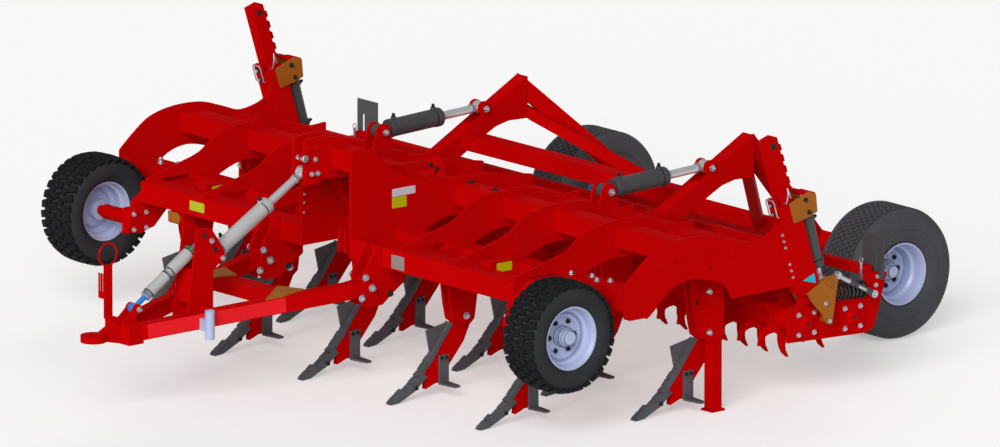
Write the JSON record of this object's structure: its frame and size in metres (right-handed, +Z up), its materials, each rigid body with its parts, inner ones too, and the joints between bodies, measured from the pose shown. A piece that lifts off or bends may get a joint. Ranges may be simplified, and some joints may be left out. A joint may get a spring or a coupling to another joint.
{
  "type": "trailed subsoiler",
  "caption": "Trailed ripping machine: two rows of winged tines under a beam frame, with drawbar, gauge wheels, double spiked roller and a hydraulic rear wheel frame.",
  "frame": {"origin": "middle of the machine's length and width, on the ground", "axes": "+X to the machine's left, +Y to the rear, +Z up"},
  "size_m": [5.4132, 5.9875, 1.8144],
  "materials": {
    "red_paint": "gloss enamel",
    "wear_steel": "satin dark grey",
    "amber_plate": "satin",
    "grey_cylinder": "satin",
    "dark_cylinder": "satin",
    "chromed_rod": "polished",
    "blue_paint": "satin",
    "zinc_steel": "silver blue paint",
    "rear_rubber": "matte",
    "gauge_rubber": "matte"
  },
  "bodies": {
    "frame": {"beams": "red_paint", "tower_plates": "red_paint", "tower_front": "red_paint", "arch_plates": "red_paint", "end_plates": "red_paint", "drawbar_lugs": "red_paint", "front_brackets": "red_paint", "rear_brackets": "red_paint", "shanks": "red_paint", "points": "wear_steel", "shins": "wear_steel", "wings": "wear_steel", "lift_lugs": "red_paint", "lift_pivots": "red_paint", "gauge_arms": "red_paint", "post_sleeves": "red_paint", "posts": "red_paint", "post_heads": "amber_plate", "stand_holders": "red_paint"},
    "drawbar": {"drawbar_arms": "red_paint", "hitch_head": "red_paint", "drawbar_tubes": "red_paint", "drawbar_gussets": "amber_plate", "mast": "red_paint", "top_link": "grey_cylinder", "link_ends": "blue_paint", "hose_stand": "red_paint", "jack_socket": "zinc_steel"},
    "draw_barrel": {"draw_barrel": "grey_cylinder"},
    "draw_rod": {"draw_rod": "chromed_rod"},
    "lift_frame": {"lift_legs": "red_paint", "lift_stays": "red_paint", "lift_tubes": "red_paint"},
    "lift_barrels": {"lift_barrels": "dark_cylinder"},
    "lift_rods": {"lift_rods": "chromed_rod"},
    "rear_wheel_left": {"rear_tyre_l": "rear_rubber", "rear_rim_l": "zinc_steel"},
    "rear_wheel_right": {"rear_tyre_r": "rear_rubber", "rear_rim_r": "zinc_steel"},
    "gauge_wheel_left": {"gauge_tyre_l": "gauge_rubber", "gauge_rim_l": "zinc_steel"},
    "gauge_wheel_right": {"gauge_tyre_r": "gauge_rubber", "gauge_rim_r": "zinc_steel"},
    "roller_frame": {"roller_sides": "red_paint", "roller_tubes": "red_paint", "crank_plates": "amber_plate", "boards": "dark_cylinder"},
    "front_roller": {"front_roller": "red_paint"},
    "rear_roller": {"rear_roller": "red_paint"},
    "depth_barrels": {"depth_barrels": "dark_cylinder"},
    "depth_rods": {"depth_rods": "chromed_rod"},
    "stand_left": {"stand_l": "red_paint"},
    "stand_right": {"stand_r": "red_paint"}
  },
  "joints": [
    {"name": "drawbar_fold", "type": "hinge", "parent": "frame", "child": "drawbar", "pos_m": [0, -1.07875, 0.704], "axis": [1, 0, 0], "range_deg": [-8, 10]},
    {"name": "draw_barrel_swing", "type": "hinge", "parent": "drawbar", "child": "draw_barrel", "pos_m": [0, -1.92175, 0.942], "axis": [1, 0, 0], "range_deg": [-3.17, 2.54]},
    {"name": "draw_rod_stroke", "type": "slide", "parent": "draw_barrel", "child": "draw_rod", "axis": [0, 0.8654, 0.501], "range_m": [-0.08922, 0.1114]},
    {"name": "lift_frame_swing", "type": "hinge", "parent": "frame", "child": "lift_frame", "pos_m": [0, 0.85625, 0.95], "axis": [1, 0, 0], "range_deg": [-18, 6]},
    {"name": "lift_barrel_swing", "type": "hinge", "parent": "frame", "child": "lift_barrels", "pos_m": [0, 0.42325, 1.225], "axis": [1, 0, 0], "range_deg": [-9.4, 3.14]},
    {"name": "lift_rod_stroke", "type": "slide", "parent": "lift_barrels", "child": "lift_rods", "axis": [0, 0.9992, 0.0405], "range_m": [-0.029, 0.086]},
    {"name": "rear_wheel_left_spin", "type": "hinge", "parent": "lift_frame", "child": "rear_wheel_left", "pos_m": [1.475, 2.55625, 0.4375], "axis": [1, 0, 0], "continuous": true},
    {"name": "rear_wheel_right_spin", "type": "hinge", "parent": "lift_frame", "child": "rear_wheel_right", "pos_m": [-1.475, 2.55625, 0.4375], "axis": [1, 0, 0], "continuous": true},
    {"name": "gauge_wheel_left_spin", "type": "hinge", "parent": "frame", "child": "gauge_wheel_left", "pos_m": [2.3596, -0.98375, 0.695], "axis": [1, 0, 0], "continuous": true},
    {"name": "gauge_wheel_right_spin", "type": "hinge", "parent": "frame", "child": "gauge_wheel_right", "pos_m": [-2.3596, -0.98375, 0.695], "axis": [1, 0, 0], "continuous": true},
    {"name": "roller_frame_tilt", "type": "hinge", "parent": "frame", "child": "roller_frame", "pos_m": [0, 0.89225, 0.703], "axis": [1, 0, 0], "range_deg": [-7, 8]},
    {"name": "front_roller_spin", "type": "hinge", "parent": "roller_frame", "child": "front_roller", "pos_m": [0, 0.88125, 0.536], "axis": [1, 0, 0], "continuous": true},
    {"name": "rear_roller_spin", "type": "hinge", "parent": "roller_frame", "child": "rear_roller", "pos_m": [0, 1.27625, 0.52], "axis": [1, 0, 0], "continuous": true},
    {"name": "depth_barrel_swing", "type": "hinge", "parent": "frame", "child": "depth_barrels", "pos_m": [0, 0.86825, 1.325], "axis": [1, 0, 0], "range_deg": [-0.88, 0.77]},
    {"name": "depth_rod_stroke", "type": "slide", "parent": "depth_barrels", "child": "depth_rods", "axis": [0, 0.2694, -0.963], "range_m": [-0.02091, 0.01836]},
    {"name": "stand_left_slide", "type": "slide", "parent": "frame", "child": "stand_left", "axis": [0, 0, 1], "range_m": [0, 0.3]},
    {"name": "stand_right_slide", "type": "slide", "parent": "frame", "child": "stand_right", "axis": [0, 0, 1], "range_m": [0, 0.3]}
  ],
  "couplings": [
    {"joint": "draw_barrel_swing", "follows": "drawbar_fold", "ratio": -0.31029},
    {"joint": "draw_rod_stroke", "follows": "drawbar_fold", "m_per_rad": 0.62292},
    {"joint": "lift_barrel_swing", "follows": "lift_frame_swing", "ratio": 0.5117},
    {"joint": "lift_rod_stroke", "follows": "lift_frame_swing", "m_per_rad": -0.26683},
    {"joint": "depth_barrel_swing", "follows": "roller_frame_tilt", "ratio": -0.10654},
    {"joint": "depth_rod_stroke", "follows": "roller_frame_tilt", "m_per_rad": -0.14329}
  ]
}
